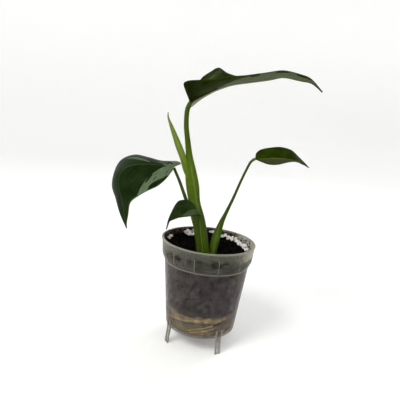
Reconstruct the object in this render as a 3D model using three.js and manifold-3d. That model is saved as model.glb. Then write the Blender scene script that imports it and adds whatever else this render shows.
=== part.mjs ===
// A young monstera with four leaves and a rolled new one, growing in a clear nursery pot.
// Millimetres, +Z up. The pot stands on its four feet at height 0.
// The plant's own points are measured from the middle of the pot's rim: x to the right, y to the back, z up.

import * as THREE from "three";
import { mergeVertices } from "three/addons/utils/BufferGeometryUtils.js";
import Module from "manifold-3d";

const wasm = await Module();
wasm.setup();

// Driving dimensions of the pot
const rimDiameter = 55;
const bodyHeight = 52.8; // rim down to the underside of the floor
const footLength = 9;
const collarHeight = 12.6; // rim down to the ring where the collar meets the wall
const wallTopRadius = 24.75;
const baseRadius = 20.7;
const wallThickness = 0.8;
const floorThickness = 1;
const potSides = 48;
const drainHole = { radius: 2.4, circle: 12, around: 4 }; // four in a circle and one in the middle
const footAngles = [33, 123, 213, 303];
const stackingRibs = 12;
const firstStackingRib = 16; // degrees
const stackingRibThickness = 0.5;

// Driving dimensions of what the pot holds
const soilBelowRim = 5.5;
const soilCoreRadius = 14.5; // the roots circle this core at the bottom
const rootZoneTop = 39.3; // below the rim
const gap = 0.3; // between neighbours
const seatGap = 0.34; // a little more where one piece is cut by its neighbour
const bladeSeatGap = 0.5; // and more at the sharp edges of a blade
const bladeThickness = 0.7;

const rimRadius = rimDiameter / 2;
const rimHeight = bodyHeight + footLength;
const floorTop = -bodyHeight + floorThickness;

const materials = {
  clearPlastic: material("#a9a8a4", 0.45),
  soil: material("#1a1512", 0.95),
  perlite: material("#dedbd2", 0.9),
  root: material("#c9b583", 0.7),
  crown: material("#8a8a4a", 0.6),
  stalk: material("#6b8424", 0.45),
  newLeaf: material("#a8ba62", 0.45),
  upperBlade: material("#4a5c32", 0.45),
  leftBlade: material("#3f5b35", 0.4),
  smallBlade: material("#3c522e", 0.45),
  rightBlade: material("#47601f", 0.45),
};

function material(color, roughness) {
  return new THREE.MeshStandardMaterial({ color, roughness, metalness: 0 });
}

// Solids

function solidOf(geometry) {
  const bare = geometry.clone();
  bare.deleteAttribute("normal");
  bare.deleteAttribute("uv");
  const merged = mergeVertices(bare, 1e-4);
  const mesh = new wasm.Mesh({
    numProp: 3,
    vertProperties: merged.attributes.position.array,
    triVerts: new Uint32Array(merged.index.array),
  });
  return new wasm.Manifold(mesh);
}

function geometryOf(solid) {
  const mesh = solid.getMesh();
  const positions = [];
  for (let i = 0; i < mesh.numVert; i++) {
    positions.push(...mesh.vertProperties.subarray(i * mesh.numProp, i * mesh.numProp + 3));
  }
  const geometry = new THREE.BufferGeometry();
  geometry.setAttribute("position", new THREE.Float32BufferAttribute(positions, 3));
  geometry.setIndex(Array.from(mesh.triVerts));
  return geometry;
}

// The same solid grown outwards by a distance, to cut its neighbours clear of it
function grown(solid, distance) {
  const geometry = geometryOf(solid);
  geometry.computeVertexNormals();
  const position = geometry.getAttribute("position");
  const normal = geometry.getAttribute("normal");
  for (let i = 0; i < position.count; i++) {
    position.setXYZ(
      i,
      position.getX(i) + normal.getX(i) * distance,
      position.getY(i) + normal.getY(i) * distance,
      position.getZ(i) + normal.getZ(i) * distance,
    );
  }
  return solidOf(geometry);
}

function largestBody(solid) {
  const bodies = solid.decompose();
  return bodies.reduce((best, body) => (body.volume() > best.volume() ? body : best));
}

function cutClear(solid, blade, ...neighbours) {
  const seated = solid.subtract(grown(blade, bladeSeatGap));
  return largestBody(neighbours.reduce((rest, piece) => rest.subtract(grown(piece, seatGap)), seated));
}

function namedMesh(name, solid, finish) {
  const mesh = new THREE.Mesh(geometryOf(solid), finish);
  mesh.name = name;
  return mesh;
}

// A profile of [radius, height] points, from the axis at the bottom round to the axis at the top
function turned(profile, sides) {
  const points = profile.map(([r, z]) => new THREE.Vector2(r, z));
  return new THREE.LatheGeometry(points, sides).rotateX(Math.PI / 2);
}

// A closed skin over rings of points, with both ends capped by a fan
function skinned(rings) {
  const sides = rings[0].length;
  const positions = rings.flat().flatMap((p) => [p.x, p.y, p.z]);
  const index = [];
  for (let i = 0; i + 1 < rings.length; i++) {
    for (let j = 0; j < sides; j++) {
      const a = i * sides + j;
      const b = i * sides + ((j + 1) % sides);
      index.push(a, b, b + sides, a, b + sides, a + sides);
    }
  }
  for (const [row, flip] of [[0, true], [rings.length - 1, false]]) {
    const middle = rings[row].reduce((sum, p) => sum.add(p), new THREE.Vector3()).divideScalar(sides);
    const centre = positions.length / 3;
    positions.push(middle.x, middle.y, middle.z);
    for (let j = 0; j < sides; j++) {
      const a = row * sides + j;
      const b = row * sides + ((j + 1) % sides);
      index.push(centre, flip ? b : a, flip ? a : b);
    }
  }
  const geometry = new THREE.BufferGeometry();
  geometry.setAttribute("position", new THREE.Float32BufferAttribute(positions, 3));
  geometry.setIndex(index);
  return geometry;
}

function curveThrough(points) {
  return new THREE.CatmullRomCurve3(points.map((p) => new THREE.Vector3(...p)), false, "catmullrom", 0.5);
}

// A stalk is a row of [x, y, z, half width, half depth]: oval sections along a smooth curve
function stalkSolid(stations, steps, sides) {
  const path = curveThrough(stations.map(([x, y, z]) => [x, y, z]));
  const sizes = curveThrough(stations.map(([, , , wide, deep]) => [wide, deep, 0]));
  const toViewer = new THREE.Vector3(0, -1, 0);
  const rings = [];
  for (let i = 0; i <= steps; i++) {
    const t = i / steps;
    const centre = path.getPoint(t);
    const along = path.getTangent(t);
    const size = sizes.getPoint(t);
    const deep = toViewer.clone().addScaledVector(along, -toViewer.dot(along)).normalize();
    const wide = new THREE.Vector3().crossVectors(deep, along);
    const ring = [];
    for (let j = 0; j < sides; j++) {
      const angle = (2 * Math.PI * j) / sides;
      ring.push(
        centre
          .clone()
          .addScaledVector(wide, size.x * Math.cos(angle))
          .addScaledVector(deep, size.y * Math.sin(angle)),
      );
    }
    rings.push(ring);
  }
  return solidOf(skinned(rings));
}

// A blade hangs between three guide curves from base to tip: the midrib and both margins, left and
// right as seen from above with the tip ahead. Veins run from the midrib out to the margins, and leave
// it behind the point of the margin that they reach. Each half is arched across, and its margin waves.
const crowding = 1.25; // of the columns towards the midrib
const calmEnds = 6; // a wave rises over a sixth of the blade at either end

function bladeSolid(leaf, rows, columns) {
  const midrib = curveThrough(leaf.midrib);
  const margins = { left: curveThrough(leaf.left), right: curveThrough(leaf.right) };
  const grid = [];
  for (let i = 0; i <= rows; i++) {
    const s = i / rows;
    const rootAt = Math.pow(s, leaf.lead);
    const root = midrib.getPoint(rootAt);
    const along = midrib.getTangent(rootAt);
    const row = new Array(2 * columns + 1);
    for (const [side, direction] of [["left", -1], ["right", 1]]) {
      const vein = margins[side].getPoint(s).sub(root);
      const up = new THREE.Vector3().crossVectors(vein, along).multiplyScalar(direction).normalize();
      const fade = Math.min(1, calmEnds * s, calmEnds * (1 - s));
      const wave = leaf.wave[side];
      const ripple = wave.height * Math.sin(2 * Math.PI * (wave.count * s + wave.start)) * fade;
      for (let j = 0; j <= columns; j++) {
        const t = Math.pow(j / columns, crowding);
        const arch = leaf.arch * vein.length() * 4 * t * (1 - t);
        row[columns + direction * j] = root
          .clone()
          .addScaledVector(vein, t)
          .addScaledVector(up, arch + ripple * t * t);
      }
    }
    grid.push(row);
  }
  return solidOf(thickened(grid, (i, j) => {
    const keel = j === columns ? leaf.keel * (1 - i / rows) : 0;
    return bladeThickness + keel;
  }));
}

// A grid of points over the upper face gets an under face, split into triangles alike, and edges
function thickened(grid, thicknessAt) {
  const last = grid.length - 1;
  const end = grid[0].length - 1;
  const upper = grid.flat();
  const lower = [];
  for (let i = 0; i <= last; i++) {
    for (let j = 0; j <= end; j++) {
      const alongStep = grid[Math.min(i + 1, last)][j].clone().sub(grid[Math.max(i - 1, 0)][j]);
      const acrossStep = grid[i][Math.min(j + 1, end)].clone().sub(grid[i][Math.max(j - 1, 0)]);
      const normal = acrossStep.cross(alongStep).normalize();
      lower.push(grid[i][j].clone().addScaledVector(normal, -thicknessAt(i, j)));
    }
  }
  const at = (i, j) => i * (end + 1) + j;
  const under = upper.length;
  const index = [];
  for (let i = 0; i < last; i++) {
    for (let j = 0; j < end; j++) {
      const [a, b, c, d] = [at(i, j), at(i, j + 1), at(i + 1, j + 1), at(i + 1, j)];
      index.push(a, b, c, a, c, d);
      index.push(under + a, under + c, under + b, under + a, under + d, under + c);
    }
  }
  const rim = [];
  for (let j = 0; j < end; j++) rim.push(at(0, j));
  for (let i = 0; i < last; i++) rim.push(at(i, end));
  for (let j = end; j > 0; j--) rim.push(at(last, j));
  for (let i = last; i > 0; i--) rim.push(at(i, 0));
  rim.forEach((a, k) => {
    const b = rim[(k + 1) % rim.length];
    index.push(b, a, under + a, b, under + a, under + b);
  });
  const geometry = new THREE.BufferGeometry();
  const positions = [...upper, ...lower].flatMap((p) => [p.x, p.y, p.z]);
  geometry.setAttribute("position", new THREE.Float32BufferAttribute(positions, 3));
  geometry.setIndex(index);
  return geometry;
}

// Pot, measured from its rim like the plant

// Outside and inside of the wall as [radius, height], from the floor's corner up to the lip
const cornerRound = 1.2;
const collar = { bevelHeight: 3.3, bevelRadius: 26.4, underLip: 27.1, lipHeight: 0.9 };
const outsideWall = [
  [baseRadius - cornerRound, -bodyHeight],
  [baseRadius, -bodyHeight + cornerRound],
  [wallTopRadius, -collarHeight],
  [collar.bevelRadius, -collarHeight + collar.bevelHeight],
  [collar.underLip, -collar.lipHeight - 0.2],
  [rimRadius, -collar.lipHeight],
  [rimRadius, 0],
];
const insideWall = [
  [baseRadius - cornerRound - wallThickness, floorTop],
  [baseRadius - wallThickness, floorTop + cornerRound],
  [wallTopRadius - wallThickness, -collarHeight - gap],
  [collar.bevelRadius - wallThickness, -collarHeight + collar.bevelHeight],
  [collar.underLip - wallThickness, 0],
];

function insideRadius(z) {
  const above = insideWall.findIndex(([, height]) => height >= z);
  const [r1, z1] = insideWall[Math.max(above, 1)];
  const [r0, z0] = insideWall[Math.max(above, 1) - 1];
  return r0 + ((r1 - r0) * (z - z0)) / (z1 - z0);
}

function turnedAbout(geometry, degrees) {
  return geometry.rotateZ(THREE.MathUtils.degToRad(degrees));
}

// A thin upright rib in the corner of the collar, which keeps stacked pots from jamming
const rib = { top: -4.6, shoulder: -6.4, shoulderDepth: 0.9, footDepth: 0.3, sunk: 0.2 };

function stackingRib(degrees, thickness, grow) {
  const shape = new THREE.Shape([
    new THREE.Vector2(collar.bevelRadius + rib.sunk, rib.top + grow),
    new THREE.Vector2(collar.bevelRadius - wallThickness - rib.shoulderDepth - grow, rib.shoulder + grow),
    new THREE.Vector2(wallTopRadius - wallThickness - rib.footDepth - grow, -collarHeight - grow),
    new THREE.Vector2(wallTopRadius - rib.sunk, -collarHeight - grow),
    new THREE.Vector2(collar.bevelRadius - rib.sunk, -collarHeight + collar.bevelHeight),
  ]);
  const plate = new THREE.ExtrudeGeometry(shape, { depth: thickness, bevelEnabled: false });
  return solidOf(turnedAbout(plate.translate(0, 0, -thickness / 2).rotateX(Math.PI / 2), degrees));
}

// A foot is a tapered tongue with a raised bead down each edge. It follows the outside of the wall
// for a little way, and splays outwards below the floor.
const foot = {
  tipWidth: 2.6,
  rootWidth: 3.4,
  thickness: 1,
  proud: 0.4, // of the wall
  rise: 5, // up the wall from the floor
  splay: 0.85,
  beadRadius: 0.45,
};

function footSolid(degrees) {
  const wallTaper = (wallTopRadius - baseRadius) / (bodyHeight - collarHeight);
  const root = baseRadius + foot.proud - foot.thickness / 2;
  const share = footLength / (footLength + foot.rise);
  const middleWidth = THREE.MathUtils.lerp(foot.tipWidth, foot.rootWidth, share);
  // Distance out, height and half width at the tip, at the floor and at the top
  const stations = [
    [root + foot.splay, -rimHeight, foot.tipWidth / 2],
    [root, -bodyHeight, middleWidth / 2],
    [root + wallTaper * foot.rise, -bodyHeight + foot.rise, foot.rootWidth / 2],
  ];
  const tongue = skinned(
    stations.map(([out, z, half]) => [
      new THREE.Vector3(out - foot.thickness / 2, -half, z),
      new THREE.Vector3(out + foot.thickness / 2, -half, z),
      new THREE.Vector3(out + foot.thickness / 2, half, z),
      new THREE.Vector3(out - foot.thickness / 2, half, z),
    ]),
  );
  let solid = solidOf(tongue);
  for (const side of [-1, 1]) {
    const bead = stations.map(([out, z, half]) => {
      return [out + foot.thickness / 2, side * half, z, foot.beadRadius, foot.beadRadius];
    });
    solid = solid.add(stalkSolid(bead, 2, 8));
  }
  const belowGround = new THREE.BoxGeometry(2 * rimDiameter, 2 * rimDiameter, footLength);
  solid = solid.subtract(solidOf(belowGround.translate(0, 0, -rimHeight - footLength / 2)));
  return solidOf(turnedAbout(geometryOf(solid), degrees));
}

function drainHoleAt(out, degrees) {
  const angle = THREE.MathUtils.degToRad(degrees);
  const hole = new THREE.CylinderGeometry(drainHole.radius, drainHole.radius, 4 * floorThickness, 16)
    .rotateX(Math.PI / 2)
    .translate(out * Math.cos(angle), out * Math.sin(angle), -bodyHeight);
  return solidOf(hole);
}

function potSolid() {
  const profile = [
    [0, -bodyHeight],
    ...outsideWall,
    ...insideWall.slice().reverse(),
    [0, floorTop],
  ];
  let pot = solidOf(turned(profile, potSides));
  // The feet stop at the inside of the wall
  const inside = solidOf(turned([[0, floorTop], ...insideWall, [0, 0]], potSides));
  for (const degrees of footAngles) {
    pot = pot.add(footSolid(degrees).subtract(inside));
  }
  for (let k = 0; k < stackingRibs; k++) {
    const degrees = firstStackingRib + (360 / stackingRibs) * k;
    pot = pot.add(stackingRib(degrees, stackingRibThickness, 0));
  }
  pot = pot.subtract(drainHoleAt(0, 0));
  for (let k = 0; k < drainHole.around; k++) {
    pot = pot.subtract(drainHoleAt(drainHole.circle, footAngles[k] + 45));
  }
  return pot;
}

// Plant

const leaves = {
  // The long upper blade is folded like a boat at its base and thins to a drip tip
  upper: {
    midrib: [
      [-18, -9, 76.5], [-14.5, -8.5, 79.5], [-10, -8, 82.5], [-4.5, -8, 85.5], [3, -7.5, 88.5],
      [12, -7, 90.5], [21.5, -6.5, 92.5], [29.5, -6, 94.5], [38, -6.5, 93.5], [44.5, -7, 92.5],
      [50.5, -7.5, 88.5],
    ],
    right: [
      [-18, -10.5, 78], [-21, -20, 84], [-19, -24, 86], [-12, -26.5, 86.5], [-5.5, -26, 87.5],
      [1, -25, 90], [10, -24, 91.5], [18.5, -23, 93], [27.5, -20.5, 95.5], [36, -16.5, 95.5],
      [43, -11, 94], [50.5, -8, 88.5],
    ],
    left: [
      [-17.5, -7.5, 78.5], [-15, 0, 86], [-13.5, 6, 91.5], [-9.5, 9, 95.5], [-5, 10.5, 97.5],
      [0.5, 11, 95], [8, 11, 94.5], [19.5, 10.5, 96], [31, 8, 98], [39.5, 3, 96.5],
      [45, -2, 94.5], [50.5, -7, 88.5],
    ],
    lead: 1.6,
    arch: -0.05,
    keel: 1.5,
    wave: { left: { height: 0.5, count: 3, start: 0 }, right: { height: 0.4, count: 3, start: 0.3 } },
    rows: 30,
    columns: 6,
  },
  // The left blade arches over and hangs, with its upper face to the viewer
  left: {
    midrib: [
      [-24, -5, 40.5], [-30.5, -5.5, 41], [-38, -6.5, 41], [-45.5, -8, 40], [-51, -9.5, 37],
      [-53, -11, 31], [-51.5, -12, 24], [-49, -12.5, 16], [-46.5, -12.5, 4.5],
    ],
    left: [
      [-23.5, -7, 40], [-26, -14, 35.5], [-30, -17, 31.5], [-35, -19, 28.5], [-39.5, -20, 25],
      [-43.5, -19.5, 21], [-45, -17.5, 15.5], [-46, -15, 10], [-46.2, -13, 4.5],
    ],
    right: [
      [-23, -4, 41], [-20.5, 0, 42.5], [-23.5, 5, 43.5], [-33, 10, 42], [-41.5, 12, 42.5],
      [-50, 12, 43], [-57.5, 10, 39.5], [-60.5, 6, 32.5], [-60, 1, 25], [-55.5, -4, 18.5],
      [-51, -9, 11], [-46.8, -12, 4.5],
    ],
    lead: 1.5,
    arch: 0.05,
    keel: 1.1,
    wave: { left: { height: 0.4, count: 2, start: 0.1 }, right: { height: 0.5, count: 2, start: 0.4 } },
    rows: 26,
    columns: 6,
  },
  // The small blade arches over in front of the other stalks
  small: {
    midrib: [
      [-6, -16, 18], [-8.5, -17, 20.5], [-12, -17.5, 22.5], [-15.5, -18, 22.5], [-19, -18.5, 20.5],
      [-21.5, -19, 17], [-22.5, -19.5, 12.5], [-23.5, -19.5, 8.5],
    ],
    left: [
      [-6, -17, 17.5], [-8.5, -20, 18], [-12, -22, 17.5], [-16.5, -22.5, 16.5], [-19.5, -22, 15],
      [-22, -21, 13], [-23.3, -20, 8.5],
    ],
    right: [
      [-6.5, -15, 18.5], [-8.5, -15, 20.5], [-11, -14.5, 23.5], [-14.5, -13, 24.5],
      [-18.5, -12.5, 23.5], [-20.5, -13.5, 21], [-22, -16, 17], [-23, -18, 13.5], [-23.6, -19, 8.5],
    ],
    lead: 1.4,
    arch: 0.05,
    keel: 0.6,
    wave: { left: { height: 0, count: 1, start: 0 }, right: { height: 0, count: 1, start: 0 } },
    rows: 16,
    columns: 4,
  },
  right: {
    midrib: [
      [20.5, -4, 50], [26.5, -4, 50.5], [34, -4.5, 51.5], [40.5, -5, 51.5], [45.5, -5.5, 51],
      [50, -6, 48.5],
    ],
    right: [
      [21, -5, 49.5], [23, -8.5, 49], [27, -11.5, 48.5], [32, -12.5, 49], [37.5, -11.5, 50.5],
      [42.5, -9, 51], [46, -7, 50], [50, -6.5, 48.5],
    ],
    left: [
      [20.5, -3, 51], [21, -1, 53], [23.5, 1.5, 55], [28.5, 3, 56.5], [34.5, 3, 57.5],
      [40.5, 2, 56.5], [44.5, -0.5, 53.5], [48, -3.5, 50.5], [50, -5.5, 48.5],
    ],
    lead: 1.4,
    arch: 0.04,
    keel: 0.6,
    wave: { left: { height: 0, count: 1, start: 0 }, right: { height: 0.2, count: 2, start: 0 } },
    rows: 18,
    columns: 4,
  },
};

// Stations of [x, y, z, half width, half depth] from the crown up
const stalkBase = -6.6; // where the stalks meet the crown
const stalkStart = -11;
const stalks = {
  // The upper leaf's stalk is broad below, where its sheath wraps round the new leaf
  upper: [
    [-1.8, -12, stalkStart, 3.6, 2.3], [-3.5, -12, -0.5, 3.7, 2.4], [-6.5, -11.5, 12.5, 3.6, 2.4],
    [-10, -11, 23, 3.2, 2.4], [-12, -11, 32, 3.6, 2.5], [-14, -10.5, 40.5, 3, 2.2],
    [-15.5, -10, 48, 1.9, 1.7], [-17, -10, 55.5, 1.5, 1.5], [-18.5, -10, 63, 1.35, 1.35],
    [-19, -9.5, 68.5, 1.3, 1.3], [-18.8, -9.5, 73, 1.3, 1.3], [-17.2, -9.2, 76.3, 1.4, 1.4],
  ],
  left: [
    [-2.2, -8.4, stalkStart, 1.6, 1.5], [-7, -7.8, 5.5, 1.5, 1.4], [-11.5, -7, 16.5, 1.2, 1.2],
    [-15.5, -6.5, 24, 1, 1], [-19.5, -6, 32.5, 0.85, 0.85], [-22.5, -5.4, 38, 0.8, 0.8],
    [-24, -5, 40.6, 0.8, 0.8],
  ],
  small: [
    [0.3, -15.6, stalkStart, 1.9, 1], [-1, -15.8, -2, 1.9, 1], [-3.5, -16, 8, 1.6, 1],
    [-5, -16, 14.5, 1.2, 1], [-6, -16.1, 18, 0.9, 0.8],
  ],
  right: [
    [3.4, -12.6, stalkStart, 2.1, 1.9], [3.4, -12.2, -3, 2.2, 1.9], [4.5, -11, 5.5, 1.9, 1.7],
    [6, -9.8, 13.5, 1.45, 1.4], [8, -8.5, 19, 1, 1], [11, -7.5, 27.5, 0.8, 0.8],
    [14, -6.5, 37, 0.7, 0.7], [17.5, -5, 46.5, 0.7, 0.7], [19, -4.5, 48.8, 0.75, 0.75],
    [20.8, -4, 50, 0.8, 0.8],
  ],
  newLeaf: [
    [-13.5, -12, 34.5, 0.6, 0.6], [-16, -12, 40.5, 1.9, 1.2], [-18.5, -12, 47, 1.9, 1.4],
    [-21.5, -11.5, 53, 1.9, 1.5], [-24, -11, 58, 1.5, 1.3], [-26.5, -10.5, 63, 1.05, 1],
    [-28.5, -10, 67, 0.5, 0.5], [-29, -10, 70, 0.25, 0.25],
  ],
};

// A stalk ends square, just above the crown
function squareAtBase(stalk) {
  const below = new THREE.BoxGeometry(rimDiameter, rimDiameter, rimDiameter);
  return stalk.subtract(solidOf(below.translate(0, 0, stalkBase - rimDiameter / 2)));
}

// The crown is a short stem that ends just under the soil's surface
const crown = { x: -0.3, y: -11.7, halfWidth: 6.8, halfDepth: 6.4, top: stalkBase - gap, bottom: -20.5 };

function ovalPost(halfWidth, halfDepth, bottom, top) {
  const post = new THREE.CylinderGeometry(1, 1, top - bottom, 28).rotateX(Math.PI / 2);
  return solidOf(post.scale(halfWidth, halfDepth, 1).translate(crown.x, crown.y, (top + bottom) / 2));
}

// Two thick roots run down from the crown and circle the bottom of the pot
const roots = {
  upper: {
    radius: 1.7,
    descent: [[-2.5, -12, -21], [-3.5, -13, -28], [-4.5, -14.5, -34.5]],
    startAngle: 272,
    turns: 1.2,
    top: 41.6,
    bottom: 42.6,
  },
  lower: {
    radius: 1.35,
    descent: [[2.5, -12, -21], [3, -13, -28], [4, -13.6, -34.5], [6.5, -13, -41], [10.5, -11, -45.4]],
    startAngle: 336,
    turns: 2,
    top: 46.2,
    bottom: 50.1,
  },
};

function rootSolid(root) {
  const { radius } = root;
  const circleAt = (turn) => {
    const z = -THREE.MathUtils.lerp(root.top, root.bottom, turn / root.turns);
    const out = insideRadius(z) - gap - radius;
    const angle = THREE.MathUtils.degToRad(root.startAngle) + turn * 2 * Math.PI;
    return [out * Math.cos(angle), out * Math.sin(angle), z];
  };
  const points = [...root.descent];
  const pointsPerTurn = 12;
  for (let k = 0; k / pointsPerTurn <= root.turns; k++) points.push(circleAt(k / pointsPerTurn));
  const section = new THREE.Shape(new THREE.EllipseCurve(0, 0, radius, radius).getPoints(7).slice(0, 7));
  const path = curveThrough(points);
  const steps = Math.round(root.turns * 22 + 10);
  return solidOf(new THREE.ExtrudeGeometry(section, { steps, extrudePath: path, bevelEnabled: false }));
}

// Soil

// Height of the soil at a place: lumpy, and heaped a little against the back of the pot
const heap = { height: 2.2, degrees: 115, from: 0.55 }; // from this share of the pot's radius
const lump = 0.2;

function soilHeight(x, y) {
  const out = Math.hypot(x, y) / insideRadius(-soilBelowRim);
  const towardsHeap = Math.cos(Math.atan2(y, x) - THREE.MathUtils.degToRad(heap.degrees));
  const heaped = heap.height * Math.max(0, towardsHeap) * THREE.MathUtils.smoothstep(out, heap.from, 1);
  const lumps = lump * (Math.sin(0.9 * x + 0.4 * y) + Math.sin(1.1 * y - 0.5 * x + 2));
  return -soilBelowRim + heaped + lumps;
}

const topRings = 7;
const soilEdge = 1; // upright edge of the soil under its surface

function soilBlank(lift) {
  const wall = insideWall.filter(([, z]) => z > -rootZoneTop && z < -soilBelowRim - soilEdge);
  const rimOfSoil = insideRadius(-soilBelowRim) - gap;
  const profile = [
    [0, floorTop + gap],
    [soilCoreRadius, floorTop + gap],
    [soilCoreRadius, -rootZoneTop - gap],
    [insideRadius(-rootZoneTop) - gap, -rootZoneTop],
    ...wall.map(([r, z]) => [r - gap, z]),
    [rimOfSoil, -soilBelowRim - soilEdge],
  ];
  for (let k = topRings; k >= 0; k--) profile.push([(rimOfSoil * k) / topRings, -soilBelowRim]);
  const bare = turned(profile, potSides).deleteAttribute("normal").deleteAttribute("uv");
  const geometry = mergeVertices(bare, 1e-4);
  const position = geometry.getAttribute("position");
  for (let i = 0; i < position.count; i++) {
    if (Math.abs(position.getZ(i) + soilBelowRim) > 0.01) continue;
    position.setZ(i, soilHeight(position.getX(i), position.getY(i)) + lift);
  }
  return solidOf(geometry);
}

function soilSolid(rootSolids) {
  let soil = soilBlank(0);
  soil = soil.subtract(ovalPost(crown.halfWidth + gap, crown.halfDepth + gap, crown.bottom - gap, 0));
  for (const root of rootSolids) soil = soil.subtract(grown(root, seatGap));
  for (let k = 0; k < stackingRibs; k++) {
    const degrees = firstStackingRib + (360 / stackingRibs) * k;
    soil = soil.subtract(stackingRib(degrees, stackingRibThickness + 2 * gap, gap));
  }
  return largestBody(soil);
}

// Perlite lies in patches: each is a run of grains along an arc of the soil, fused together
const perlitePatches = {
  perlite_left: { from: 150, to: 164, out: 24.2, grains: 6, spread: 1, seed: 3 },
  perlite_back_left: { from: 112, to: 134, out: 23.2, grains: 12, spread: 1.6, seed: 11 },
  perlite_back: { from: 84, to: 91, out: 24, grains: 4, spread: 0.8, seed: 5 },
  perlite_right: { from: 9, to: 70, out: 23.4, grains: 24, spread: 1.4, seed: 8 },
};
const grain = { radius: 1.35, flatness: 0.75, sunk: 0.8 }; // sunk by this share of its size

function seededRandom(seed) {
  let state = seed * 7919 + 17;
  return () => {
    state = (state * 16807) % 2147483647;
    return state / 2147483647;
  };
}

function perliteSolid(patch, soilBelow) {
  const random = seededRandom(patch.seed);
  let patchSolid = null;
  for (let k = 0; k < patch.grains; k++) {
    const share = k / (patch.grains - 1);
    const angle = THREE.MathUtils.degToRad(THREE.MathUtils.lerp(patch.from, patch.to, share));
    const out = patch.out + patch.spread * (random() - 0.5);
    const size = grain.radius * (0.8 + 0.4 * random());
    const x = out * Math.cos(angle);
    const y = out * Math.sin(angle);
    const stone = new THREE.IcosahedronGeometry(size, 0)
      .scale(1, 0.85 + 0.3 * random(), grain.flatness)
      .rotateX(2 * Math.PI * random())
      .rotateZ(2 * Math.PI * random())
      .translate(x, y, soilHeight(x, y) + gap + (1 - grain.sunk) * size);
    patchSolid = patchSolid ? patchSolid.add(solidOf(stone)) : solidOf(stone);
  }
  return largestBody(patchSolid.subtract(soilBelow));
}

// Assembly

const blades = {};
for (const [name, leaf] of Object.entries(leaves)) blades[name] = bladeSolid(leaf, leaf.rows, leaf.columns);

const newLeaf = stalkSolid(stalks.newLeaf, 16, 10);
const rightStalk = cutClear(squareAtBase(stalkSolid(stalks.right, 22, 10)), blades.right);
const smallStalk = cutClear(squareAtBase(stalkSolid(stalks.small, 12, 10)), blades.small, rightStalk);
const upperStalk = cutClear(
  squareAtBase(stalkSolid(stalks.upper, 30, 14)),
  blades.upper,
  newLeaf,
  rightStalk,
  smallStalk,
);
const leftStalk = cutClear(squareAtBase(stalkSolid(stalks.left, 18, 8)), blades.left, upperStalk);

const upperRoot = rootSolid(roots.upper);
const lowerRoot = rootSolid(roots.lower);
const soilUnderGrains = soilBlank(gap);

const planted = new THREE.Group();
planted.add(
  namedMesh("pot", potSolid(), materials.clearPlastic),
  namedMesh("soil", soilSolid([upperRoot, lowerRoot]), materials.soil),
  namedMesh("root_upper", upperRoot, materials.root),
  namedMesh("root_lower", lowerRoot, materials.root),
  namedMesh("crown", ovalPost(crown.halfWidth, crown.halfDepth, crown.bottom, crown.top), materials.crown),
  namedMesh("stalk_upper", upperStalk, materials.stalk),
  namedMesh("stalk_left", leftStalk, materials.stalk),
  namedMesh("stalk_small", smallStalk, materials.stalk),
  namedMesh("stalk_right", rightStalk, materials.stalk),
  namedMesh("new_leaf", newLeaf, materials.newLeaf),
  namedMesh("blade_upper", blades.upper, materials.upperBlade),
  namedMesh("blade_left", blades.left, materials.leftBlade),
  namedMesh("blade_small", blades.small, materials.smallBlade),
  namedMesh("blade_right", blades.right, materials.rightBlade),
);
for (const [name, patch] of Object.entries(perlitePatches)) {
  planted.add(namedMesh(name, perliteSolid(patch, soilUnderGrains), materials.perlite));
}
planted.position.z = rimHeight;

// The origin is the middle of the whole plant's footprint, at the height of the feet
const plantInPot = new THREE.Group();
plantInPot.add(planted);
const box = new THREE.Box3().setFromObject(plantInPot, true);
planted.position.x = -(box.min.x + box.max.x) / 2;
planted.position.y = -(box.min.y + box.max.y) / 2;

export default plantInPot;
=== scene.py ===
# A young monstera with marbled leaves in a clear nursery pot.
# Shapes are worked out in millimetres from the middle of the pot's rim: x to the right, y to the
# back and z up. They are set down in metres, in the frame, when a piece is finished.

import math
import random

import bmesh
import bpy
from mathutils import Euler, Matrix, Vector, noise


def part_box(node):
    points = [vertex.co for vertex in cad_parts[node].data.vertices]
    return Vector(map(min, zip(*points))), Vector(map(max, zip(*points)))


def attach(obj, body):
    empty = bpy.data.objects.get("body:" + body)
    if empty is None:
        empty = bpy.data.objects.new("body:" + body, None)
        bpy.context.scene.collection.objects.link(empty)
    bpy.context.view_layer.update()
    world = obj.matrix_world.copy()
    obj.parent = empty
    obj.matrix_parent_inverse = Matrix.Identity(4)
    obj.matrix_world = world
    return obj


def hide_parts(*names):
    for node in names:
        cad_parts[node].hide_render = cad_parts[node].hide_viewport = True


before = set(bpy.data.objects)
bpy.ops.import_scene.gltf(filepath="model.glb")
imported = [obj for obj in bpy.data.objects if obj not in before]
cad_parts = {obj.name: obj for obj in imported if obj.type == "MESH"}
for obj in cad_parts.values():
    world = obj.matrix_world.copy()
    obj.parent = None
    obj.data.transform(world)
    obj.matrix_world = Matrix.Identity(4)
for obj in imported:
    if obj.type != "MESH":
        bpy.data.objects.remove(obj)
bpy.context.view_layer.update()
potLow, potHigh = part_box("pot")
rimMiddle = Vector(((potLow.x + potHigh.x) / 2, (potLow.y + potHigh.y) / 2, potHigh.z))
toFrame = Matrix.Translation(rimMiddle) @ Matrix.Scale(0.001, 4)
feetHeight = (potLow.z - potHigh.z) * 1000  # mm below the rim
print("frame loaded:", len(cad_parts), "nodes")


# Materials

def paint(code):  # "#rrggbb" as it looks on a screen, to the linear colour that a socket takes
    shares = [int(code[i:i + 2], 16) / 255 for i in (1, 3, 5)]
    return [c / 12.92 if c < 0.04 else ((c + 0.055) / 1.055) ** 2.4 for c in shares] + [1.0]


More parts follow.
